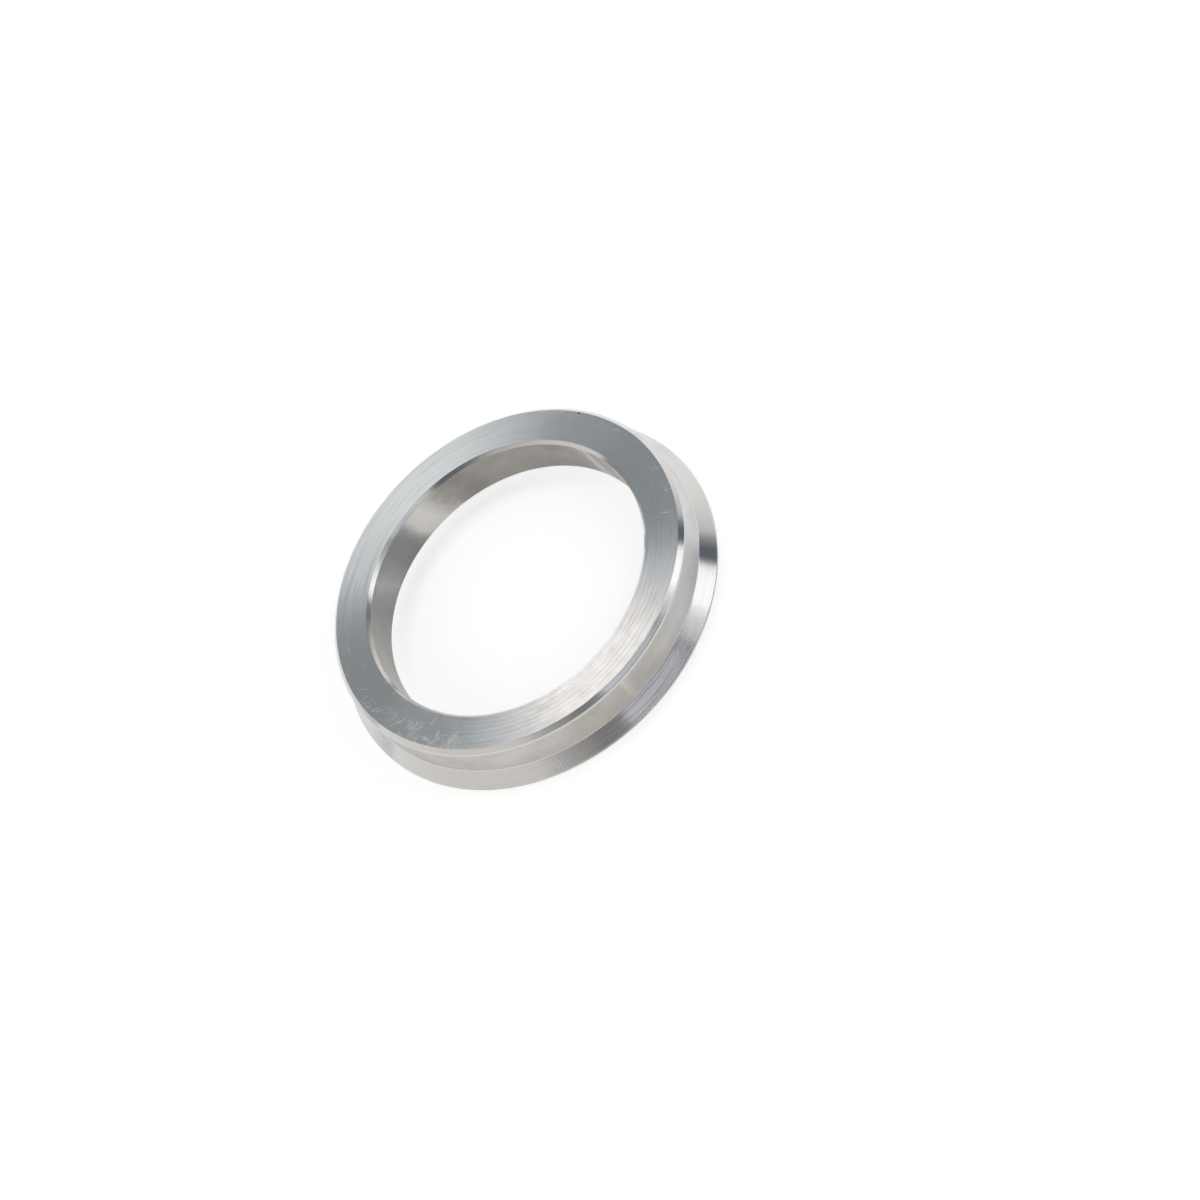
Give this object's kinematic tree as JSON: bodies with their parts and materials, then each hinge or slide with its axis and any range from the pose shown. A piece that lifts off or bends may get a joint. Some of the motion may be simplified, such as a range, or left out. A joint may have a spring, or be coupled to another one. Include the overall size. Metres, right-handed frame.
{
  "type": "hub centric ring",
  "caption": "Turned aluminium ring that centres a wheel on its hub: plain bore, cylindrical seat with a lead-in chamfer, and a sloped lip at the back.",
  "frame": {"origin": "centre of the back face, on the bore's axis, where the ring lies on a flat surface", "axes": "+Z along the bore's axis, from the lip at the back to the front face; X and Y lie in the back face, and the ring is the same all round"},
  "size_m": [0.0782, 0.0782, 0.0104],
  "materials": {
    "turned_aluminium": "bare turned aluminium: fine concentric tool marks on the front face, satin seat and bore, brighter chamfers and lip"
  },
  "bodies": {
    "root": {"hub_ring": "turned_aluminium"}
  },
  "joints": []
}
